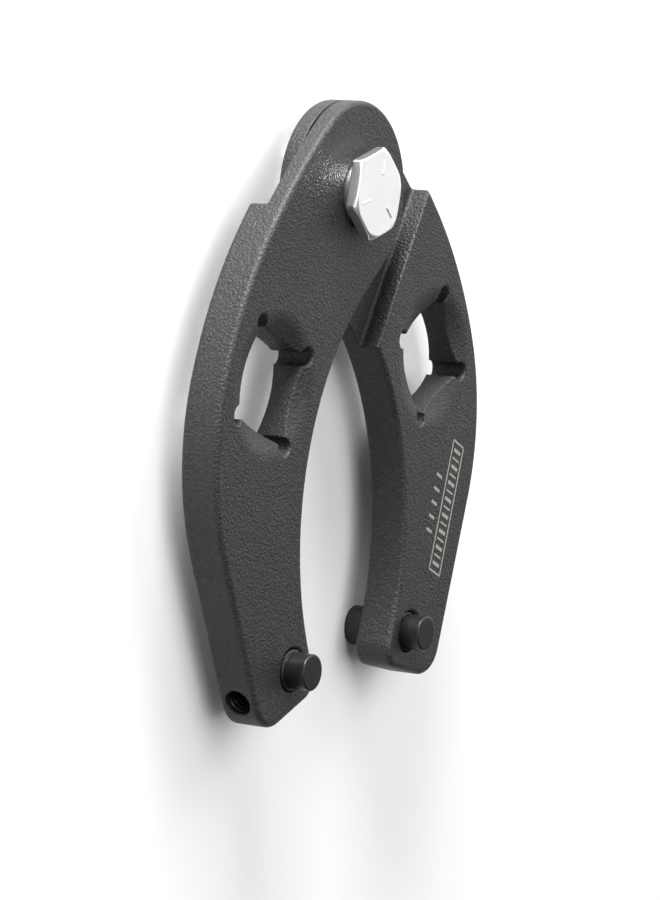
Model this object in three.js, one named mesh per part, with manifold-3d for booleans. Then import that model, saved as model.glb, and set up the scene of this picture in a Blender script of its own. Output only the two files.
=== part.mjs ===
// Adjustable pin spanner: two half-lapped steel arms on one pivot bolt, each with a square drive hole
// and a reversible, adjustable pin that a set screw holds. It lies flat, front face up.
// Millimetres. X runs across the jaws, +Y points from the pins to the pivot, and +Z is the pivot axis.
import * as THREE from "three";
import { mergeVertices } from "three/addons/utils/BufferGeometryUtils.js";
import Module from "manifold-3d";

// ---- Driving dimensions ----
const CLEARANCE = 0.3; // running gap between pieces that touch on the real tool

// Arms
const THICKNESS = 6.0;
const EDGE_BREAK = 0.6; // bevel round the arm's two faces
const HEAD_RADIUS = 13.2; // round head about the pivot axis
const OUTER_START = 126; // degrees: where the outer edge leaves the head
const OUTER_ARCS = [
  { radius: 100, sweep: 12.3 },
  { radius: 60, sweep: 22.6 },
  { radius: 36.4, sweep: 40.4 },
]; // the convex outer edge, from the head down, each arc tangent to the last
const INNER_START = -53.2; // degrees: where the inner edge leaves the head
const INNER_STRAIGHT = 6.3;
const INNER_ARC = { radius: 44, sweep: 74 }; // the concave inner edge
const TIP_EDGE = { x: -18, y: -73.45, heading: 16.5 }; // a point on the end edge, and its slope
const TIP_OUTER_CORNER = 5;
const TIP_INNER_CORNER = 3.2;

// Half lap: beyond this straight step only the front half of the arm runs on to the pivot
const STEP_DISTANCE = 17.6; // from the pivot axis to the step
const STEP_NORMAL = 33.2; // degrees: the direction from the step to the pivot
const LAP_THICKNESS = (THICKNESS - CLEARANCE) / 2;

// Square drive hole, with a round relief in each corner and a shallow conical sink in both faces
const DRIVE_HOLE = { x: -22.75, y: -25.65, side: 13.6, turn: -25.3 };
const RELIEF = { radius: 1.35, fromCentre: 9.45 };
const SINK = { radius: 9.85, rise: 0.4, depth: 1.6 };

// Reversible pins
const PIN_SPOT = { x: -16.9, y: -66.95 };
const PIN_LENGTH = 12.7;
const PIN_BODY = 6.0; // diameter of the end for 1/4 in pinholes
const PIN_TIP = 5.3; // diameter of the end for 7/32 in pinholes
const PIN_TIP_LENGTH = 3.3;
const PIN_CHAMFER = 0.3;
const PIN_REACH = { left: 3.35, right: 2.95 }; // how far each tip stands above the front face
const BORE_BREAK = 0.3; // chamfer of the pin bores

// Set screws, in the outer edge, aimed at the pins
const SCREW_HEADING = 199; // degrees: from the pin out to the edge
const SCREW_DIAMETER = 3.4; // about half way down its thread
const SCREW_LENGTH = 4.0;
const SCREW_POINT = 0.5; // chamfer of the screw's inner end
const SCREW_KEY = { across: 2.0, depth: 2.2 }; // hexagon socket
const SCREW_HOLE_REACH = 14; // how far the threaded hole runs out from the pin's axis

// Pivot bolt and nut
const SHOULDER = 9.5; // diameter of the plain shoulder that both arms turn on
const SHOULDER_STAND = 1.4; // how far the shoulder stands out of the front face
const BOLT_HEAD = { across: 12.0, height: 1.8, chamfer: 0.35, turn: 14 };
const BOLT_THREAD = 6.35;
const BOLT_END_CHAMFER = 0.6;
const BOLT_END_PROUD = 0.25; // thread that shows behind the nut
const NUT = { across: 11.1, height: 3.2, chamfer: 0.5, turn: 20 };
const HEX_CHAMFER_ANGLE = 60; // degrees from the pivot axis, on the corners of head and nut

// Place in the part's frame: origin at the middle of the footprint, at the lowest point
const FRONT_FACE_Z = PIN_LENGTH - PIN_REACH.right;
const ARM_LOWEST_Y = -74.346; // the end edge's lowest point, below the pivot axis
const PIVOT_Y = -(HEAD_RADIUS + ARM_LOWEST_Y) / 2;

// ---- Colours ----
const BLACK_COAT = { color: 0x3a3a3d, roughness: 0.62, metalness: 0.1 };
const BLACK_OXIDE = { color: 0x2e2d2f, roughness: 0.38, metalness: 0.8 };
const ZINC = { color: 0xc9ced2, roughness: 0.3, metalness: 1.0 };

const wasm = await Module();
wasm.setup();

const rad = THREE.MathUtils.degToRad;
const OVERCUT = 1; // how far cutting tools run past the faces they cut
const FAR = 60; // beyond the arm in every direction

// ---- Solids ----
function toSolid(geometry) {
  const bare = new THREE.BufferGeometry();
  bare.setAttribute("position", geometry.getAttribute("position"));
  bare.setIndex(geometry.getIndex());
  const merged = mergeVertices(bare, 1e-4);
  return new wasm.Manifold(
    new wasm.Mesh({
      numProp: 3,
      vertProperties: merged.attributes.position.array,
      triVerts: new Uint32Array(merged.index.array),
    }),
  );
}

function toGeometry(solid) {
  const { vertProperties, triVerts } = solid.getMesh();
  const geometry = new THREE.BufferGeometry();
  geometry.setAttribute("position", new THREE.BufferAttribute(vertProperties, 3));
  geometry.setIndex(new THREE.BufferAttribute(triVerts, 1));
  geometry.computeVertexNormals();
  return geometry;
}

// A solid of revolution about Z. The profile is [radius, z] pairs from the axis and back to it, upwards.
function turned(profile, sides = 40) {
  const points = profile.map(([radius, z]) => new THREE.Vector2(radius, z));
  return toSolid(new THREE.LatheGeometry(points, sides).rotateX(Math.PI / 2));
}

function cylinder(diameter, zLow, zHigh, sides = 40) {
  const r = diameter / 2;
  return turned([[0, zLow], [r, zLow], [r, zHigh], [0, zHigh]], sides);
}

// A right prism of an outline in the XY plane, between two heights.
function prism(points, zLow, zHigh) {
  const shape = new THREE.Shape(points.map(([x, y]) => new THREE.Vector2(x, y)));
  const geometry = new THREE.ExtrudeGeometry(shape, { depth: zHigh - zLow, bevelEnabled: false });
  return toSolid(geometry.translate(0, 0, zLow));
}

function regularPolygon(across, sides, turn = 0) {
  const radius = across / 2 / Math.cos(Math.PI / sides);
  return Array.from({ length: sides }, (_, i) => {
    const angle = rad(turn) + ((i + 0.5) * 2 * Math.PI) / sides;
    return [radius * Math.cos(angle), radius * Math.sin(angle)];
  });
}

// A hexagon prism whose corners are turned down at the ends that ask for it: `top` and `bottom` say how
// far inside the flats each end's turned face stops.
function hexBlock(across, zLow, zHigh, { top = 0, bottom = 0, turn = 0 }) {
  const flat = across / 2;
  const wide = across / Math.sqrt(3) + CLEARANCE; // just outside the corners
  const drop = (inside) => (inside ? (wide - flat + inside) / Math.tan(rad(HEX_CHAMFER_ANGLE)) : 0);
  const round = turned(
    [
      [0, zLow],
      [bottom ? flat - bottom : wide, zLow],
      [wide, zLow + drop(bottom)],
      [wide, zHigh - drop(top)],
      [top ? flat - top : wide, zHigh],
      [0, zHigh],
    ],
    48,
  );
  return prism(regularPolygon(across, 6, turn), zLow, zHigh).intersect(round);
}

// ---- The arm's outline ----
// Adds points along an arc that starts at `at`, heading `at.heading`, and turns by `sweep` degrees.
function walkArc(points, at, radius, sweep, stepDegrees = 6) {
  const turn = Math.sign(sweep);
  const centre = {
    x: at.x - turn * radius * Math.sin(rad(at.heading)),
    y: at.y + turn * radius * Math.cos(rad(at.heading)),
  };
  const steps = Math.max(2, Math.ceil((Math.abs(sweep) * Math.sqrt(radius / 10)) / stepDegrees));
  for (let i = 1; i <= steps; i++) {
    const heading = rad(at.heading + (sweep * i) / steps);
    points.push([
      centre.x + turn * radius * Math.sin(heading),
      centre.y - turn * radius * Math.cos(heading),
    ]);
  }
  const [x, y] = points.at(-1);
  return { x, y, heading: at.heading + sweep };
}

function onHead(degrees, heading) {
  return { x: HEAD_RADIUS * Math.cos(rad(degrees)), y: HEAD_RADIUS * Math.sin(rad(degrees)), heading };
}

// Where the straight line through a, along a.heading, meets the one through b.
function crossing(a, b) {
  const [ca, sa] = [Math.cos(rad(a.heading)), Math.sin(rad(a.heading))];
  const [cb, sb] = [Math.cos(rad(b.heading)), Math.sin(rad(b.heading))];
  const along = ((b.x - a.x) * sb - (b.y - a.y) * cb) / (ca * sb - sa * cb);
  return { x: a.x + along * ca, y: a.y + along * sa };
}

// Rounds the corner where a's line meets b's, and returns where the round ends.
function walkCorner(points, a, b, radius) {
  const corner = crossing(a, b);
  const sweep = b.heading - a.heading;
  const back = radius * Math.tan(rad(sweep / 2));
  const start = {
    x: corner.x - back * Math.cos(rad(a.heading)),
    y: corner.y - back * Math.sin(rad(a.heading)),
    heading: a.heading,
  };
  points.push([start.x, start.y]);
  return walkArc(points, start, radius, sweep, 10);
}

// The left arm seen from the front, counter-clockwise, with the pivot axis at the origin.
function armOutline() {
  const points = [];
  let at = onHead(INNER_START, INNER_START + 90);
  points.push([at.x, at.y]);
  at = walkArc(points, at, HEAD_RADIUS, OUTER_START - INNER_START);
  for (const { radius, sweep } of OUTER_ARCS) at = walkArc(points, at, radius, sweep);

  const inner = [];
  let inside = onHead(INNER_START, INNER_START - 90);
  inside.x += INNER_STRAIGHT * Math.cos(rad(inside.heading));
  inside.y += INNER_STRAIGHT * Math.sin(rad(inside.heading));
  inner.push([inside.x, inside.y]);
  inside = walkArc(inner, inside, INNER_ARC.radius, INNER_ARC.sweep);

  const edge = { ...TIP_EDGE, heading: TIP_EDGE.heading + 360 };
  at = walkCorner(points, at, edge, TIP_OUTER_CORNER);
  walkCorner(points, at, { ...inside, heading: inside.heading + 180 + 360 }, TIP_INNER_CORNER);
  return points.concat(inner.reverse());
}

// ---- The arm ----
function armBlank() {
  const shape = new THREE.Shape(armOutline().map(([x, y]) => new THREE.Vector2(x, y)));
  const geometry = new THREE.ExtrudeGeometry(shape, {
    depth: THICKNESS - 2 * EDGE_BREAK,
    bevelThickness: EDGE_BREAK,
    bevelSize: EDGE_BREAK,
    bevelOffset: -EDGE_BREAK,
    bevelSegments: 2,
  });
  return toSolid(geometry.translate(0, 0, EDGE_BREAK - THICKNESS));
}

// All of the back half on the pivot's side of the step.
function lapCut() {
  const rectangle = [[-STEP_DISTANCE, -FAR], [FAR, -FAR], [FAR, FAR], [-STEP_DISTANCE, FAR]];
  return prism(rectangle, -THICKNESS - OVERCUT, -LAP_THICKNESS).rotate([0, 0, STEP_NORMAL]);
}

function sinkCone(face, into) {
  const { radius, rise, depth } = SINK;
  const profile = [
    [0, -depth],
    [radius - depth / rise, -depth],
    [radius, 0],
    [radius + OVERCUT / rise, OVERCUT],
    [0, OVERCUT],
  ];
  const cone = turned(profile, 48);
  return (into < 0 ? cone : cone.rotate([180, 0, 0])).translate([0, 0, face]);
}

function driveHole() {
  const { x, y, side, turn } = DRIVE_HOLE;
  let hole = prism(regularPolygon(side, 4, 0), -THICKNESS - OVERCUT, OVERCUT);
  for (let corner = 0; corner < 4; corner++) {
    const angle = rad(45 + 90 * corner);
    const spot = [RELIEF.fromCentre * Math.cos(angle), RELIEF.fromCentre * Math.sin(angle), 0];
    const relief = cylinder(2 * RELIEF.radius, -THICKNESS - OVERCUT, OVERCUT, 20);
    hole = hole.add(relief.translate(spot));
  }
  return hole
    .add(sinkCone(0, -1))
    .add(sinkCone(-THICKNESS, 1))
    .rotate([0, 0, turn])
    .translate([x, y, 0]);
}

// A through bore with its two edges broken.
function brokenBore(diameter, zLow, zHigh, edge) {
  const r = diameter / 2;
  return turned([
    [0, zLow - OVERCUT],
    [r + edge + OVERCUT, zLow - OVERCUT],
    [r, zLow + edge],
    [r, zHigh - edge],
    [r + edge + OVERCUT, zHigh + OVERCUT],
    [0, zHigh + OVERCUT],
  ]);
}

// Lays a solid made along Z on the set screw's axis, with z = 0 on the pin's axis and +Z running out.
function alongScrew(solid) {
  return solid
    .rotate([0, 90, SCREW_HEADING])
    .translate([PIN_SPOT.x, PIN_SPOT.y, -THICKNESS / 2]);
}

function arm() {
  const pivotBore = cylinder(SHOULDER + 2 * CLEARANCE, -THICKNESS - OVERCUT, OVERCUT, 48);
  const pinBore = brokenBore(PIN_BODY + 2 * CLEARANCE, -THICKNESS, 0, BORE_BREAK);
  const screwHole = cylinder(SCREW_DIAMETER + 2 * CLEARANCE, 0, SCREW_HOLE_REACH, 28);
  return armBlank()
    .subtract(lapCut())
    .subtract(driveHole())
    .subtract(pivotBore)
    .subtract(pinBore.translate([PIN_SPOT.x, PIN_SPOT.y, 0]))
    .subtract(alongScrew(screwHole));
}

// ---- Small pieces ----
// The pin lies on Z with its narrow tip up and the end of the tip at z = 0.
function pin() {
  const [body, tip, c] = [PIN_BODY / 2, PIN_TIP / 2, PIN_CHAMFER];
  return turned([
    [0, -PIN_LENGTH],
    [body - c, -PIN_LENGTH],
    [body, c - PIN_LENGTH],
    [body, -PIN_TIP_LENGTH - c],
    [body - c, -PIN_TIP_LENGTH],
    [tip, -PIN_TIP_LENGTH],
    [tip, -c],
    [tip - c, 0],
    [0, 0],
  ]);
}

function setScrew() {
  const inner = PIN_BODY / 2 + CLEARANCE;
  const outer = inner + SCREW_LENGTH;
  const r = SCREW_DIAMETER / 2;
  const blank = turned(
    [[0, inner], [r - SCREW_POINT, inner], [r, inner + SCREW_POINT], [r, outer], [0, outer]],
    28,
  );
  const socket = prism(regularPolygon(SCREW_KEY.across, 6), outer - SCREW_KEY.depth, outer + OVERCUT);
  return alongScrew(blank.subtract(socket));
}

function pivotBolt() {
  const nutBack = -THICKNESS - CLEARANCE - NUT.height;
  const thread = BOLT_THREAD / 2;
  const shank = turned([
    [0, nutBack - BOLT_END_PROUD],
    [thread - BOLT_END_CHAMFER, nutBack - BOLT_END_PROUD],
    [thread, nutBack - BOLT_END_PROUD + BOLT_END_CHAMFER],
    [thread, -THICKNESS],
    [SHOULDER / 2, -THICKNESS],
    [SHOULDER / 2, SHOULDER_STAND + OVERCUT],
    [0, SHOULDER_STAND + OVERCUT],
  ]);
  const top = SHOULDER_STAND + BOLT_HEAD.height;
  const shape = { top: BOLT_HEAD.chamfer, turn: BOLT_HEAD.turn };
  return shank.add(hexBlock(BOLT_HEAD.across, SHOULDER_STAND, top, shape));
}

function lockNut() {
  const front = -THICKNESS - CLEARANCE;
  const shape = { top: NUT.chamfer, bottom: NUT.chamfer, turn: NUT.turn };
  const hole = cylinder(BOLT_THREAD + 2 * CLEARANCE, front - NUT.height - OVERCUT, front + OVERCUT);
  return hexBlock(NUT.across, front - NUT.height, front, shape).subtract(hole);
}

// ---- Assembly ----
function mesh(name, solid, look) {
  const made = new THREE.Mesh(toGeometry(solid), new THREE.MeshStandardMaterial(look));
  made.name = name;
  return made;
}

// One arm with its set screw. The right-hand one is the same casting, turned over about Y.
function armGroup(side) {
  const group = new THREE.Group();
  group.add(mesh(`arm_${side}`, arm(), BLACK_COAT));
  group.add(mesh(`set_screw_${side}`, setScrew(), BLACK_OXIDE));
  return group;
}

const left = armGroup("left");
const right = armGroup("right");
right.rotation.y = Math.PI;
right.position.z = -THICKNESS;

const pinLeft = mesh("pin_left", pin(), BLACK_OXIDE);
pinLeft.position.set(PIN_SPOT.x, PIN_SPOT.y, PIN_REACH.left);
const pinRight = mesh("pin_right", pin(), BLACK_OXIDE);
pinRight.position.set(-PIN_SPOT.x, PIN_SPOT.y, PIN_REACH.right);

const spanner = new THREE.Group();
spanner.add(left, right, pinLeft, pinRight);
spanner.add(mesh("pivot_bolt", pivotBolt(), ZINC));
spanner.add(mesh("lock_nut", lockNut(), ZINC));
spanner.position.set(0, PIVOT_Y, FRONT_FACE_Z);

const root = new THREE.Group();
root.add(spanner);

export default root;
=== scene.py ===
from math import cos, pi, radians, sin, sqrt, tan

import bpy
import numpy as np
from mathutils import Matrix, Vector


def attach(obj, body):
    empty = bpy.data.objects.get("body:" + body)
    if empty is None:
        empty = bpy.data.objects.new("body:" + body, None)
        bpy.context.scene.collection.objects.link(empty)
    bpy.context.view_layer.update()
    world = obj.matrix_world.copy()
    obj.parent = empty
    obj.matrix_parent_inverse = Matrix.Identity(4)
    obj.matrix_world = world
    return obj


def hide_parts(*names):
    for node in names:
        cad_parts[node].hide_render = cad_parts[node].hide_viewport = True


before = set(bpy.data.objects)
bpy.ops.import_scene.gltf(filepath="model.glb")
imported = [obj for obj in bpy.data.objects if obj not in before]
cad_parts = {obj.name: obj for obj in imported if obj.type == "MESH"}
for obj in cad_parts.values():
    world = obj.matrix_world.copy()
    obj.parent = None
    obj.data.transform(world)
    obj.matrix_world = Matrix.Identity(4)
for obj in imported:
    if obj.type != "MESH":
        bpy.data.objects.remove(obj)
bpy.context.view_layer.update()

# Adjustable pin spanner, lying flat: cast arms, turned pins, plated bolt and nut.
#
# Shapes are distance fields in millimetres, in the pivot frame: the origin is on the pivot axis at the front
# face. They are meshed, and then placed in the row frame in metres.

# ---- Driving dimensions, as in the CAD ----
PIVOT_Y = 30.573
FRONT_FACE_Z = 9.75
THICKNESS = 6.0
HEAD_RADIUS = 13.2
OUTER_START = 126
OUTER_ARCS = ((100, 12.3), (60, 22.6), (36.4, 40.4))  # radius and sweep in degrees
INNER_START = -53.2
INNER_STRAIGHT = 6.3
INNER_ARC = (44, 74)
TIP_EDGE = (-18, -73.45, 16.5)
TIP_OUTER_CORNER = 5
TIP_INNER_CORNER = 3.2
STEP_DISTANCE = 17.6
STEP_NORMAL = radians(33.2)
LAP_THICKNESS = 2.85
HOLE_CENTRE = (-22.75, -25.65)
HOLE_SIDE = 13.6
HOLE_TURN = radians(-25.3)
RELIEF_RADIUS = 1.35
RELIEF_FROM_CENTRE = 9.45
SINK_RADIUS = 9.85
SINK_RISE = 0.4
PIN_SPOT = (-16.9, -66.95)
PIN_LENGTH = 12.7
PIN_BODY_RADIUS = 3.0
PIN_TIP_RADIUS = 2.65
PIN_TIP_LENGTH = 3.3
PIN_REACH = {"left": 3.35, "right": 2.95}
SCREW_HEADING = radians(199)
SCREW_RADIUS = 1.7
SCREW_POINT = 0.5
SCREW_START = 3.3
SCREW_LENGTH = 4.0
SCREW_KEY = 2.0
SCREW_KEY_DEPTH = 2.2
THREAD_PITCH = 0.8
THREAD_DEPTH = 0.24
SHOULDER_RADIUS = 4.75
SHOULDER_STAND = 1.4
BOLT_ACROSS = 12.0
BOLT_HEIGHT = 1.8
BOLT_TURN = radians(14)
BOLT_THREAD_RADIUS = 3.175
BOLT_END = -9.75
NUT_ACROSS = 11.1
NUT_HEIGHT = 3.2
NUT_TURN = radians(20)
GAP = 0.3  # between the back face and the nut
SCREW_EASE = 0.999  # the set screw's share of its nominal radius
THREAD_SIDES = 72
THREAD_ROWS = 120
THREAD_RUN = 8.0  # length of the threaded wall, from the screw's point outwards
THREAD_SET_BACK = 0.35  # how far inside the arm's edge the wall stops
BOLT_THREAD_DEPTH = 0.35
BOLT_END_CHAMFER = 0.5
BOLT_CORNER_CUT = 0.12  # off the radius at the head's corners
NUT_CLEARANCE = 0.15  # round the bolt's thread
NUT_MOUTH = 0.55  # how far the mouth spreads beyond the bolt's thread
CORNER_ANGLE = radians(60)  # of the cone that takes the corners off a hexagon
CORNER_SPREAD = 0.15  # how far outside the flats that cone meets the end
MARK_COUNT = 3
MARK_TURN = radians(60)  # the grade marks point at corners of the head
MARK_MIDDLE = 3.9
MARK_HALF_LENGTH = 0.95
MARK_RADIUS = 0.14

# ---- Finish of the edges, finer than the CAD's bevels ----
CAST_EDGE = 0.8
LAP_FILLET = 0.5
LAP_EDGE = 0.2
HOLE_EDGE = 0.35
PIN_BORE_RADIUS = 3.14
BORE_BREAK = 0.32
SCREW_BORE_RADIUS = 1.97
PIVOT_BORE_RADIUS = 4.95
PIN_EDGE = 0.28
PIN_TIP_EDGE = 0.3
SCREW_EDGE = 0.12
BOLT_EDGE = 0.22
BOLT_CORNER_EDGE = 0.15
SHOULDER_EDGE = 0.1
NUT_EDGE = 0.15

# ---- The etched mark, on the right arm's face ----
FRAME_CORNERS = ((29.7, -39.2), (32.8, -40.9), (25.9, -59.8), (22.7, -58.1))
FRAME_LINE = 0.3
HATCH_SPACES = 16
HATCH_INSET = 0.2  # share of the frame's width left clear at each end of a bar
HATCH_WIDTHS = (0.3, 0.55)
TICKS = 5
TICK_FIRST = (25.3, -44.2)
TICK_LAST = (22.4, -52.2)
TICK_HALF = (0.8, -0.44)
TICK_WIDTH = 0.45
ETCH_DEPTH = 0.03

# ---- Meshing ----
ARM_CELL = 0.25
PIN_CELL = 0.11
SCREW_CELL = 0.07
BOLT_CELL = 0.1
NUT_CELL = 0.12
BOLT_REACH = 7  # half the width of the space that is searched for the bolt
NUT_REACH = 6.5
SLOPE_STEP = 0.02
LEAST_SLOPE = 0.25  # keeps a point from being thrown far where the field is nearly level
FAR = 1e9  # further than anything here, as a start for the nearest of several

# ---- Camera and floor, in metres and degrees ----
CAMERA_PLACE = (-0.41447, 0.06277, 0.25037)
CAMERA_HEADING = radians(170.430)
CAMERA_ELEVATION = radians(30.242)
CAMERA_ROLL = radians(95.757)  # the object stands on end in the picture
CAMERA_LENS = 133.43
FLOOR_SIZE = 6


# ---- Distance fields ----
def round_max(a, b, radius):
    """Both solids at once, with the edge where they meet rounded."""
    outside = np.hypot(np.maximum(a + radius, 0), np.maximum(b + radius, 0))
    return np.minimum(np.maximum(a, b), -radius) + outside


def hexagon(x, y, across, turn):
    """A hexagonal bar along Z, with a corner at the angle turn."""
    angle = np.arctan2(y, x) - turn
    folded = (angle % (pi / 3)) - pi / 6
    return np.hypot(x, y) * np.cos(folded) - across / 2


def screw_wave(angle, along):
    """0 at the root and 1 at the crest of a V thread."""
    phase = (along / THREAD_PITCH - angle / (2 * pi)) % 1.0
    return 1 - np.abs(2 * phase - 1)


# ---- The arm's outline ----
def walk_arc(points, at, radius, sweep, steps=40):
    """Adds an arc from a place and heading, and returns the place and heading at its end."""
    x, y, heading = at
    turn = 1 if sweep > 0 else -1
    centre_x = x - turn * radius * sin(radians(heading))
    centre_y = y + turn * radius * cos(radians(heading))
    for step in range(1, steps + 1):
        angle = radians(heading + sweep * step / steps)
        points.append((centre_x + turn * radius * sin(angle), centre_y - turn * radius * cos(angle)))
    return (*points[-1], heading + sweep)


def on_head(degrees, heading):
    """A place on the round head, with a heading."""
    return (HEAD_RADIUS * cos(radians(degrees)), HEAD_RADIUS * sin(radians(degrees)), heading)


def walk_corner(points, a, b, radius):
    """Adds the rounded corner between two straight lines, each a place and a heading."""
    ca, sa = cos(radians(a[2])), sin(radians(a[2]))
    cb, sb = cos(radians(b[2])), sin(radians(b[2]))
    along = ((b[0] - a[0]) * sb - (b[1] - a[1]) * cb) / (ca * sb - sa * cb)
    sweep = b[2] - a[2]
    back = along - radius * tan(radians(sweep / 2))
    start = (a[0] + back * ca, a[1] + back * sa, a[2])
    points.append(start[:2])
    return walk_arc(points, start, radius, sweep, 16)


def arm_outline():
    """The left arm seen from the front, counter-clockwise."""
    points = []
    at = on_head(INNER_START, INNER_START + 90)
    points.append(at[:2])
    at = walk_arc(points, at, HEAD_RADIUS, OUTER_START - INNER_START)
    for radius, sweep in OUTER_ARCS:
        at = walk_arc(points, at, radius, sweep)
    inner = []
    x, y, heading = on_head(INNER_START, INNER_START - 90)
    x += INNER_STRAIGHT * cos(radians(heading))
    y += INNER_STRAIGHT * sin(radians(heading))
    inner.append((x, y))
    inside = walk_arc(inner, (x, y, heading), *INNER_ARC)
    # Headings keep growing along the walk, so these are a full turn on. The inner edge was walked backwards,
    # and is half a turn further round.
    edge = (TIP_EDGE[0], TIP_EDGE[1], TIP_EDGE[2] + 360)
    at = walk_corner(points, at, edge, TIP_OUTER_CORNER)
    walk_corner(points, at, (inside[0], inside[1], inside[2] + 540), TIP_INNER_CORNER)
    return np.array(points + inner[::-1])


class Outline:
    """Signed distance to the arm's outline, worked out once on a fine grid."""

    CELL = 0.25
    MARGIN = 2.0

    def __init__(self, loop):
        self.low = loop.min(0) - self.MARGIN
        counts = np.ceil((loop.max(0) + self.MARGIN - self.low) / self.CELL).astype(int) + 1
        xs = self.low[0] + self.CELL * np.arange(counts[0])
        ys = self.low[1] + self.CELL * np.arange(counts[1])
        px, py = np.meshgrid(xs, ys, indexing="ij")
        best = np.full(px.shape, FAR)
        inside = np.zeros(px.shape, bool)
        for (ax, ay), (bx, by) in zip(loop, np.roll(loop, -1, axis=0)):
            dx, dy = bx - ax, by - ay
            length = dx * dx + dy * dy
            if length < 1e-12:
                continue
            t = np.clip(((px - ax) * dx + (py - ay) * dy) / length, 0, 1)
            best = np.minimum(best, np.hypot(px - ax - t * dx, py - ay - t * dy))
            if ay != by:
                crosses = ((ay > py) != (by > py)) & (px < ax + (py - ay) * dx / dy)
                inside ^= crosses
        self.grid = np.where(inside, -best, best)

    def __call__(self, x, y):
        """Distances read from the grid, and blended between its four nearest points."""
        x, y = np.broadcast_arrays(x, y)
        limit = np.array(self.grid.shape) - 1.001
        u = np.clip((x - self.low[0]) / self.CELL, 0, limit[0])
        v = np.clip((y - self.low[1]) / self.CELL, 0, limit[1])
        i, j = u.astype(int), v.astype(int)
        fu, fv = u - i, v - j
        g = self.grid
        low = g[i, j] * (1 - fu) + g[i + 1, j] * fu
        high = g[i, j + 1] * (1 - fu) + g[i + 1, j + 1] * fu
        return low * (1 - fv) + high * fv


LOOP = arm_outline()
OUTLINE = Outline(LOOP)


# ---- Solids ----
def drive_hole(x, y, z):
    """The square hole with its relieved corners, and a shallow sink at each face."""
    dx, dy = x - HOLE_CENTRE[0], y - HOLE_CENTRE[1]
    u = np.abs(dx * cos(HOLE_TURN) + dy * sin(HOLE_TURN))
    v = np.abs(dy * cos(HOLE_TURN) - dx * sin(HOLE_TURN))
    square = np.maximum(u, v) - HOLE_SIDE / 2
    spot = RELIEF_FROM_CENTRE / sqrt(2)
    relief = np.hypot(u - spot, v - spot) - RELIEF_RADIUS
    rho = np.hypot(dx, dy)
    steep = sqrt(1 + 1 / SINK_RISE**2)
    front = (rho - SINK_RADIUS - z / SINK_RISE) / steep
    back = (rho - SINK_RADIUS + (z + THICKNESS) / SINK_RISE) / steep
    return np.minimum(np.minimum(square, relief), np.minimum(front, back))


def pin_bore(x, y, z):
    """The hole for the pin, its rims broken."""
    rho = np.hypot(x - PIN_SPOT[0], y - PIN_SPOT[1])
    wide = PIN_BORE_RADIUS + BORE_BREAK
    front = (rho - wide - z) / sqrt(2)
    back = (rho - wide + z + THICKNESS) / sqrt(2)
    return np.minimum(rho - PIN_BORE_RADIUS, np.minimum(front, back))


def screw_axes(x, y, z):
    """Distance out along the set screw's axis, and the two offsets across it."""
    dx, dy = x - PIN_SPOT[0], y - PIN_SPOT[1]
    along = dx * cos(SCREW_HEADING) + dy * sin(SCREW_HEADING)
    across = dy * cos(SCREW_HEADING) - dx * sin(SCREW_HEADING)
    return along, across, z + THICKNESS / 2


def arm_field(x, y, z):
    """The left arm, which turned over is the right arm too."""
    d = round_max(OUTLINE(x, y), np.abs(z + THICKNESS / 2) - THICKNESS / 2, CAST_EDGE)
    beyond = -STEP_DISTANCE - (x * cos(STEP_NORMAL) + y * sin(STEP_NORMAL))
    lap = round_max(beyond, z + LAP_THICKNESS, LAP_FILLET)
    d = round_max(d, -lap, LAP_EDGE)
    d = round_max(d, -drive_hole(x, y, z), HOLE_EDGE)
    d = np.maximum(d, PIVOT_BORE_RADIUS - np.hypot(x, y))
    d = np.maximum(d, -pin_bore(x, y, z))
    along, across, up = screw_axes(x, y, z)
    screw_bore = np.maximum(np.hypot(across, up) - SCREW_BORE_RADIUS, -along)
    return np.maximum(d, -screw_bore)


def pin_field(x, y, z):
    """The tip's end is at z = 0."""
    rho = np.hypot(x, y)
    body_top = z + PIN_TIP_LENGTH
    body = round_max(rho - PIN_BODY_RADIUS, np.maximum(body_top, -z - PIN_LENGTH), PIN_EDGE)
    tip = round_max(rho - PIN_TIP_RADIUS, np.maximum(z, -z - PIN_LENGTH / 2), PIN_TIP_EDGE)
    return np.minimum(body, tip)


def set_screw_field(x, y, z):
    """The screw lies on Z, its point at z = 0 and its socket at z = SCREW_LENGTH."""
    rho = np.hypot(x, y)
    radius = SCREW_RADIUS - THREAD_DEPTH * (1 - screw_wave(np.arctan2(y, x), z))
    ends = round_max(rho - radius * SCREW_EASE, np.maximum(z - SCREW_LENGTH, -z), SCREW_EDGE)
    point = (rho - (SCREW_RADIUS - SCREW_POINT) - z) / sqrt(2)
    socket = np.maximum(hexagon(x, y, SCREW_KEY, 0), SCREW_LENGTH - SCREW_KEY_DEPTH - z)
    return np.maximum(np.maximum(ends, point), -socket)


def turned_corners(x, y, z, across, face_z, way):
    """The cone that takes the corners off a hexagon's end; way is +1 at a top and -1 at an underside."""
    spread = np.hypot(x, y) - (across / 2 + CORNER_SPREAD)
    return (spread + way * (z - face_z) * tan(CORNER_ANGLE)) * cos(CORNER_ANGLE)


def grade_marks(x, y, z):
    """Three raised radial lines, 120 degrees apart, on the bolt's head."""
    top = SHOULDER_STAND + BOLT_HEIGHT
    best = np.full(np.broadcast(x, y, z).shape, FAR)
    for k in range(MARK_COUNT):
        angle = BOLT_TURN + MARK_TURN + 2 * pi * k / MARK_COUNT
        along = x * cos(angle) + y * sin(angle)
        across = y * cos(angle) - x * sin(angle)
        reach = np.maximum(np.abs(along - MARK_MIDDLE) - MARK_HALF_LENGTH, 0)
        best = np.minimum(best, np.sqrt(reach**2 + across**2 + (z - top) ** 2) - MARK_RADIUS)
    return best


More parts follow.
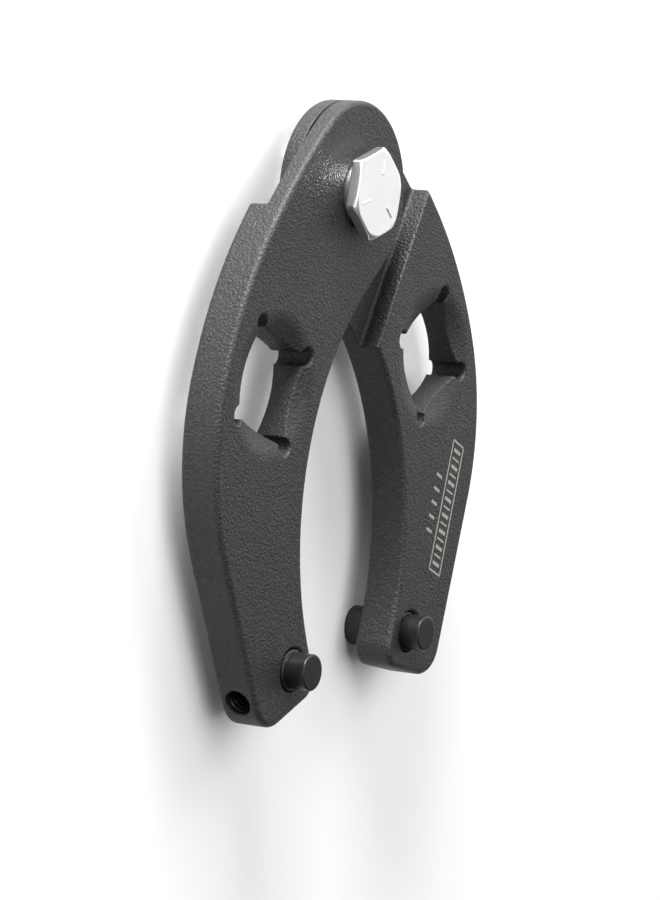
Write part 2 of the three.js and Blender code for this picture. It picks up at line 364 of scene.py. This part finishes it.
def bolt_field(x, y, z):
    """Head, plain shoulder and thread."""
    rho = np.hypot(x, y)
    top = SHOULDER_STAND + BOLT_HEIGHT
    middle = (top + SHOULDER_STAND) / 2
    ends = np.abs(z - middle) - BOLT_HEIGHT / 2
    head = round_max(hexagon(x, y, BOLT_ACROSS, BOLT_TURN), ends, BOLT_EDGE)
    head = round_max(head, turned_corners(x, y, z, BOLT_ACROSS, top, 1), BOLT_CORNER_EDGE)
    head = np.maximum(head, rho - BOLT_ACROSS / sqrt(3) + BOLT_CORNER_CUT)
    head = np.minimum(head, grade_marks(x, y, z))
    shoulder = round_max(rho - SHOULDER_RADIUS, np.maximum(z - middle, -z - THICKNESS), SHOULDER_EDGE)
    wave = screw_wave(np.arctan2(y, x), z)
    outside = rho - BOLT_THREAD_RADIUS
    thread = np.maximum(outside + BOLT_THREAD_DEPTH * (1 - wave), np.maximum(z, BOLT_END - z))
    thread = np.maximum(thread, (outside + BOLT_END_CHAMFER - (z - BOLT_END)) / sqrt(2))
    return np.minimum(np.minimum(head, shoulder), thread)


def nut_field(x, y, z):
    """A thin nut, with its corners turned off at both ends."""
    front = -THICKNESS - GAP
    middle = front - NUT_HEIGHT / 2
    body = round_max(hexagon(x, y, NUT_ACROSS, NUT_TURN), np.abs(z - middle) - NUT_HEIGHT / 2, NUT_EDGE)
    body = np.maximum(body, turned_corners(x, y, z, NUT_ACROSS, front, 1))
    body = np.maximum(body, turned_corners(x, y, z, NUT_ACROSS, front - NUT_HEIGHT, -1))
    outside = np.hypot(x, y) - BOLT_THREAD_RADIUS
    mouth = (outside - NUT_MOUTH + (z - front + NUT_HEIGHT)) / sqrt(2)
    return np.maximum(body, -np.minimum(outside - NUT_CLEARANCE, mouth))


# ---- Surfaces from fields ----
def net_points(values, low, cell):
    """One point in each cell that the surface crosses: the mean of its crossings with the cell's edges."""
    shape = tuple(n - 1 for n in values.shape)
    total = np.zeros(shape + (3,))
    count = np.zeros(shape)
    for axis in range(3):
        others = [a for a in range(3) if a != axis]
        near = [slice(None)] * 3
        far = [slice(None)] * 3
        near[axis], far[axis] = slice(None, -1), slice(1, None)
        a, b = values[tuple(near)], values[tuple(far)]
        crossed = (a < 0) != (b < 0)
        share = np.where(crossed, a / np.where(crossed, a - b, 1), 0)
        for s in (0, 1):
            for t in (0, 1):
                pick = [slice(None)] * 3
                pick[others[0]] = slice(s, shape[others[0]] + s)
                pick[others[1]] = slice(t, shape[others[1]] + t)
                c, f = crossed[tuple(pick)], share[tuple(pick)]
                count += c
                total[..., axis] += np.where(c, f, 0)
                total[..., others[0]] += s * c
                total[..., others[1]] += t * c
    used = count > 0
    number = np.full(shape, -1)
    number[used] = np.arange(used.sum())
    places = np.argwhere(used) + total[used] / count[used][:, None]
    return low + cell * places, number


def net_faces(values, number):
    """One face round each edge of the grid that the surface crosses, facing outwards."""
    faces = []
    for axis in range(3):
        u, v = [(1, 2), (2, 0), (0, 1)][axis]
        near = [slice(1, -1)] * 3
        far = [slice(1, -1)] * 3
        near[axis], far[axis] = slice(None, -1), slice(1, None)
        a, b = values[tuple(near)] < 0, values[tuple(far)] < 0
        spots = np.argwhere(a != b)
        outward = a[tuple(spots.T)]
        spots[:, u] += 1
        spots[:, v] += 1
        ring = []
        for du, dv in ((1, 1), (0, 1), (0, 0), (1, 0)):
            corner = spots.copy()
            corner[:, u] -= du
            corner[:, v] -= dv
            ring.append(number[tuple(corner.T)])
        quad = np.stack(ring, axis=1)
        quad[~outward] = quad[~outward][:, ::-1]
        faces.append(quad)
    return np.concatenate(faces)


def gradient(field, points, step):
    """The field's slope at each point, by central differences."""
    columns = []
    for offset in step * np.eye(3):
        columns.append(field(*(points + offset).T) - field(*(points - offset).T))
    return np.stack(columns, axis=1) / (2 * step)


def settle(field, points, cell, rounds=3):
    """Moves the points onto the surface."""
    for _ in range(rounds):
        here = field(*points.T)
        slope = gradient(field, points, SLOPE_STEP)
        size = np.maximum((slope**2).sum(1), LEAST_SLOPE)
        move = -slope * (here / size)[:, None]
        points = points + np.clip(move, -cell / 2, cell / 2)
    return points


def field_mesh(name, field, low, high, cell):
    """A smooth mesh of the solid where field is negative, in millimetres."""
    low = np.array(low, float) - 2 * cell
    axes = [np.arange(low[a], high[a] + 2 * cell, cell) for a in range(3)]
    x, y, z = axes[0][:, None, None], axes[1][None, :, None], axes[2][None, None, :]
    values = np.broadcast_to(field(x, y, z), tuple(len(a) for a in axes))
    points, number = net_points(values, low, cell)
    faces = net_faces(values, number)
    points = settle(field, points, cell)
    mesh = bpy.data.meshes.new(name)
    mesh.from_pydata(points.tolist(), [], faces.tolist())
    mesh.validate()
    mesh.shade_smooth()
    normals = gradient(field, points, cell / 2)
    normals /= np.maximum(np.linalg.norm(normals, axis=1), 1e-6)[:, None]
    mesh.normals_split_custom_set_from_vertices(normals.tolist())
    return mesh


def round_mesh(name, field, reach, bottom, top, cell):
    """The mesh of a piece that stands round the Z axis."""
    return field_mesh(name, field, (-reach, -reach, bottom), (reach, reach, top), cell)


# ---- Placing ----
MM = Matrix.Scale(0.001, 4)
TO_ROW = Matrix.Translation((0, PIVOT_Y, FRONT_FACE_Z))
TURN_OVER = Matrix.Translation((0, 0, -THICKNESS)) @ Matrix.Rotation(pi, 4, "Y")


def screw_place():
    """From the screw's own axes, point at the origin, to the pivot frame."""
    out = Vector((cos(SCREW_HEADING), sin(SCREW_HEADING), 0))
    turn = out.to_track_quat("Z", "Y").to_matrix().to_4x4()
    spot = Vector((PIN_SPOT[0], PIN_SPOT[1], -THICKNESS / 2)) + out * SCREW_START
    return Matrix.Translation(spot) @ turn


def piece(name, mesh, place, body, replaced, material):
    """One piece, with its mesh put straight into the row frame."""
    own = mesh.copy()
    own.name = name
    own.transform(MM @ TO_ROW @ place)
    own.materials.clear()
    own.materials.append(material)
    obj = bpy.data.objects.new(name, own)
    bpy.context.scene.collection.objects.link(obj)
    if replaced:
        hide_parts(replaced)
    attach(obj, body)
    return obj


# ---- Materials ----
def new_material(name, colour, roughness, metallic):
    """A material with one shader. Its node tree and shader come back too, for what is added to them."""
    material = bpy.data.materials.new(name)
    material.use_nodes = True
    shader = material.node_tree.nodes["Principled BSDF"]
    shader.inputs["Base Color"].default_value = (*colour, 1)
    shader.inputs["Roughness"].default_value = roughness
    shader.inputs["Metallic"].default_value = metallic
    return material, material.node_tree, shader


def noise(tree, scale, detail=3.0, stretch=None):
    """Noise on the piece's own coordinates; scale is in features for each metre."""
    node = tree.nodes.new("ShaderNodeTexNoise")
    node.inputs["Scale"].default_value = scale
    node.inputs["Detail"].default_value = detail
    coordinates = tree.nodes.new("ShaderNodeTexCoord").outputs["Object"]
    if stretch:
        mapping = tree.nodes.new("ShaderNodeMapping")
        mapping.inputs["Scale"].default_value = stretch
        tree.links.new(coordinates, mapping.inputs["Vector"])
        coordinates = mapping.outputs["Vector"]
    tree.links.new(coordinates, node.inputs["Vector"])
    return node.outputs["Fac"]


def ramp(tree, value, stops):
    """A colour that goes from the first stop's to the last's as the value does."""
    node = tree.nodes.new("ShaderNodeValToRGB")
    first, last = node.color_ramp.elements
    first.position, first.color = stops[0][0], (*stops[0][1], 1)
    last.position, last.color = stops[-1][0], (*stops[-1][1], 1)
    tree.links.new(value, node.inputs["Fac"])
    return node.outputs["Color"]


def bump(tree, shader, height, strength, distance):
    """Fine relief in the shading, at most as deep as distance, in metres."""
    node = tree.nodes.new("ShaderNodeBump")
    node.inputs["Strength"].default_value = strength
    node.inputs["Distance"].default_value = distance
    tree.links.new(height, node.inputs["Height"])
    tree.links.new(node.outputs["Normal"], shader.inputs["Normal"])


def grey(level):
    """A very slightly blue grey."""
    return (level, level, level * 1.03)


def even(level):
    """The same level in all three channels."""
    return (level, level, level)


def black_coat():
    """Black powder coat: even fine grain, satin, a little lighter on its high spots."""
    material, tree, shader = new_material("black_powder_coat", grey(0.02), roughness=0.5, metallic=0.0)
    shader.inputs["Specular IOR Level"].default_value = 0.42
    grain = noise(tree, scale=2700, detail=2)
    colour = ramp(tree, grain, [(0.35, grey(0.013)), (0.7, grey(0.03))])
    tree.links.new(colour, shader.inputs["Base Color"])
    rough = ramp(tree, noise(tree, scale=120), [(0.3, even(0.44)), (0.7, even(0.56))])
    tree.links.new(rough, shader.inputs["Roughness"])
    bump(tree, shader, grain, strength=1.0, distance=0.0002)
    return material


def black_oxide():
    """Black oxide on turned steel."""
    material, tree, shader = new_material("black_oxide", grey(0.007), roughness=0.34, metallic=0.0)
    shader.inputs["Specular IOR Level"].default_value = 0.4
    rings = noise(tree, scale=900, detail=2, stretch=(0.4, 0.4, 5))
    rough = ramp(tree, rings, [(0.3, even(0.28)), (0.7, even(0.42))])
    tree.links.new(rough, shader.inputs["Roughness"])
    bump(tree, shader, rings, strength=0.15, distance=0.00003)
    return material


def zinc_plate():
    """Bright zinc plate with a faint bluish cast."""
    material, tree, shader = new_material("zinc_plate", (0.9, 0.91, 0.93), roughness=0.3, metallic=1.0)
    cloud = noise(tree, scale=180, detail=2)
    colour = ramp(tree, cloud, [(0.3, (0.88, 0.9, 0.91)), (0.7, (0.95, 0.96, 0.97))])
    tree.links.new(colour, shader.inputs["Base Color"])
    rough = ramp(tree, cloud, [(0.3, even(0.285)), (0.7, even(0.315))])
    tree.links.new(rough, shader.inputs["Roughness"])
    bump(tree, shader, noise(tree, scale=450, detail=2), strength=0.3, distance=0.00004)
    return material


def etch():
    """Laser-etched coat: matt, light warm grey."""
    material, tree, shader = new_material("laser_etch", (0.3, 0.28, 0.25), roughness=0.75, metallic=0.0)
    fleck = noise(tree, scale=4000, detail=3)
    colour = ramp(tree, fleck, [(0.35, (0.2, 0.185, 0.165)), (0.65, (0.4, 0.375, 0.34))])
    tree.links.new(colour, shader.inputs["Base Color"])
    return material


# ---- Threads in the set screw holes ----
def thread_shell():
    """The ridged wall of the threaded hole, in the screw's own axes, from its point outwards."""
    points = []
    for row in range(THREAD_ROWS + 1):
        along = THREAD_RUN * row / THREAD_ROWS
        for side in range(THREAD_SIDES):
            angle = 2 * pi * side / THREAD_SIDES
            wave = float(screw_wave(angle, along))
            radius = SCREW_BORE_RADIUS - THREAD_DEPTH * wave
            points.append((radius * cos(angle), radius * sin(angle), along))
    place = screw_place()
    kept = []
    for p in points:
        q = place @ Vector(p)
        kept.append(float(OUTLINE(np.array(q.x), np.array(q.y))) < -THREAD_SET_BACK)
    faces = []
    for row in range(THREAD_ROWS):
        for side in range(THREAD_SIDES):
            a = row * THREAD_SIDES + side
            b = row * THREAD_SIDES + (side + 1) % THREAD_SIDES
            ring = (a, a + THREAD_SIDES, b + THREAD_SIDES, b)
            if all(kept[i] for i in ring):
                faces.append(ring)
    mesh = bpy.data.meshes.new("thread_shell")
    mesh.from_pydata(points, [], faces)
    mesh.validate()
    mesh.shade_smooth()
    return mesh


# ---- The etched mark ----
def between(a, b, share):
    """The point that is this share of the way from a to b."""
    return (a[0] + (b[0] - a[0]) * share, a[1] + (b[1] - a[1]) * share)


def mark_bar(points, faces, a, b, width):
    """A thin straight bar from a to b, let into the arm's face and standing just proud of it."""
    (ax, ay), (bx, by) = a, b
    length = sqrt((bx - ax) ** 2 + (by - ay) ** 2)
    nx, ny = -(by - ay) / length * width / 2, (bx - ax) / length * width / 2
    start = len(points)
    for level in (-ETCH_DEPTH, ETCH_DEPTH / 3):
        points += [(ax + nx, ay + ny, level), (ax - nx, ay - ny, level)]
        points += [(bx - nx, by - ny, level), (bx + nx, by + ny, level)]
    rings = ((0, 3, 2, 1), (4, 5, 6, 7), (0, 1, 5, 4), (1, 2, 6, 5), (2, 3, 7, 6), (3, 0, 4, 7))
    faces += [tuple(start + i for i in ring) for ring in rings]


def etched_mark():
    """A plain slanted frame with hatching, and a row of short ticks beside it."""
    points, faces = [], []
    corners = FRAME_CORNERS
    for a, b in zip(corners, corners[1:] + corners[:1]):
        mark_bar(points, faces, a, b, FRAME_LINE)
    for k in range(1, HATCH_SPACES):
        left = between(corners[0], corners[3], k / HATCH_SPACES)
        right = between(corners[1], corners[2], k / HATCH_SPACES)
        start = between(left, right, HATCH_INSET)
        end = between(right, left, HATCH_INSET)
        mark_bar(points, faces, start, end, HATCH_WIDTHS[k % 2])
    dx, dy = TICK_HALF
    for k in range(TICKS):
        x, y = between(TICK_FIRST, TICK_LAST, k / (TICKS - 1))
        mark_bar(points, faces, (x - dx, y - dy), (x + dx, y + dy), TICK_WIDTH)
    mesh = bpy.data.meshes.new("etched_mark")
    mesh.from_pydata(points, [], faces)
    mesh.validate()
    return mesh


# ---- Assembly ----
def build_spanner():
    """Every piece, on its body. The arm, pin and set screw are each made once and placed twice."""
    coat, oxide, zinc, etched = black_coat(), black_oxide(), zinc_plate(), etch()
    low, high = LOOP.min(0), LOOP.max(0)
    arm = field_mesh("arm", arm_field, (*low, -THICKNESS), (*high, 0), ARM_CELL)
    pin = round_mesh("pin", pin_field, PIN_BODY_RADIUS, -PIN_LENGTH, 0, PIN_CELL)
    screw = round_mesh("set_screw", set_screw_field, SCREW_RADIUS, 0, SCREW_LENGTH, SCREW_CELL)
    bolt_top = SHOULDER_STAND + BOLT_HEIGHT + MARK_RADIUS
    bolt = round_mesh("bolt", bolt_field, BOLT_REACH, BOLT_END, bolt_top, BOLT_CELL)
    nut_front = -THICKNESS - GAP
    nut = round_mesh("nut", nut_field, NUT_REACH, nut_front - NUT_HEIGHT, nut_front, NUT_CELL)
    threads = thread_shell()
    here = Matrix.Identity(4)
    for side, flip in (("left", here), ("right", TURN_OVER)):
        arm_body = side + "_arm"
        piece("cast_arm_" + side, arm, flip, arm_body, "arm_" + side, coat)
        piece("threads_" + side, threads, flip @ screw_place(), arm_body, None, oxide)
        place = flip @ screw_place()
        piece("grub_screw_" + side, screw, place, side + "_screw", "set_screw_" + side, oxide)
        x = PIN_SPOT[0] if side == "left" else -PIN_SPOT[0]
        place = Matrix.Translation((x, PIN_SPOT[1], PIN_REACH[side]))
        piece("turned_pin_" + side, pin, place, side + "_pin", "pin_" + side, oxide)
    piece("hex_bolt", bolt, here, "left_arm", "pivot_bolt", zinc)
    piece("thin_nut", nut, here, "left_arm", "lock_nut", zinc)
    piece("etched_mark", etched_mark(), here, "right_arm", None, etched)


# ---- Stage ----
def add_floor():
    """A plain pale floor."""
    bpy.ops.mesh.primitive_plane_add(size=FLOOR_SIZE, location=(0, 0, 0))
    floor = bpy.context.object
    floor.name = "floor"
    material, _, _ = new_material("pale_floor", even(0.9), roughness=0.9, metallic=0.0)
    floor.data.materials.append(material)


def aim_light(light, place):
    """Puts a lamp at a place, facing the object and out of sight itself."""
    obj = bpy.data.objects.new(light.name, light)
    obj.location = place
    obj.rotation_euler = (-Vector(place)).to_track_quat("-Z", "Y").to_euler()
    obj.visible_camera = False
    bpy.context.scene.collection.objects.link(obj)


def add_softbox(name, place, wide, tall, watts):
    """A rectangular area light."""
    light = bpy.data.lights.new(name, "AREA")
    light.shape = "RECTANGLE"
    light.size = wide
    light.size_y = tall
    light.energy = watts
    aim_light(light, place)


def add_overhead(place, angle, strength):
    """Broad even light from above, which keeps the floor pale out to its edge."""
    light = bpy.data.lights.new("overhead", "SUN")
    light.angle = radians(angle)
    light.energy = strength
    aim_light(light, place)


def add_world():
    """Bright round the horizon and dim overhead."""
    world = bpy.data.worlds.new("studio")
    world.use_nodes = True
    tree = world.node_tree
    direction = tree.nodes.new("ShaderNodeTexCoord").outputs["Generated"]
    parts = tree.nodes.new("ShaderNodeSeparateXYZ")
    tree.links.new(direction, parts.inputs["Vector"])
    horizon = (0.08, grey(0.85))  # height on a sphere of radius 1, and colour
    overhead = (0.3, grey(0.1))
    colour = ramp(tree, parts.outputs["Z"], [horizon, overhead])
    tree.links.new(colour, tree.nodes["Background"].inputs["Color"])
    bpy.context.scene.world = world
    bpy.context.scene.view_settings.view_transform = "Standard"


def add_camera():
    """The photograph's viewing angle, with the pivot towards the top of the picture."""
    flat = cos(CAMERA_ELEVATION)
    back = Vector((flat * cos(CAMERA_HEADING), flat * sin(CAMERA_HEADING), sin(CAMERA_ELEVATION)))
    level = Vector((-sin(CAMERA_HEADING), cos(CAMERA_HEADING), 0))
    right = level * cos(CAMERA_ROLL) + back.cross(level) * sin(CAMERA_ROLL)
    matrix = Matrix((right, back.cross(right), back)).transposed().to_4x4()
    matrix.translation = CAMERA_PLACE
    camera = bpy.data.cameras.new("camera")
    camera.lens = CAMERA_LENS
    obj = bpy.data.objects.new("camera", camera)
    obj.matrix_world = matrix
    bpy.context.scene.collection.objects.link(obj)
    bpy.context.scene.camera = obj


build_spanner()
add_floor()
add_softbox("key", place=(-0.12, 0.46, 0.08), wide=0.3, tall=0.13, watts=6.5)
add_softbox("fill", place=(0.42, 0.6, 0.34), wide=0.5, tall=0.5, watts=3)
add_softbox("card", place=(0.6, 0.2, 0.36), wide=0.75, tall=0.7, watts=1.45)
add_overhead(place=(-0.3, 0.3, 1), angle=60, strength=1.8)
add_world()
add_camera()
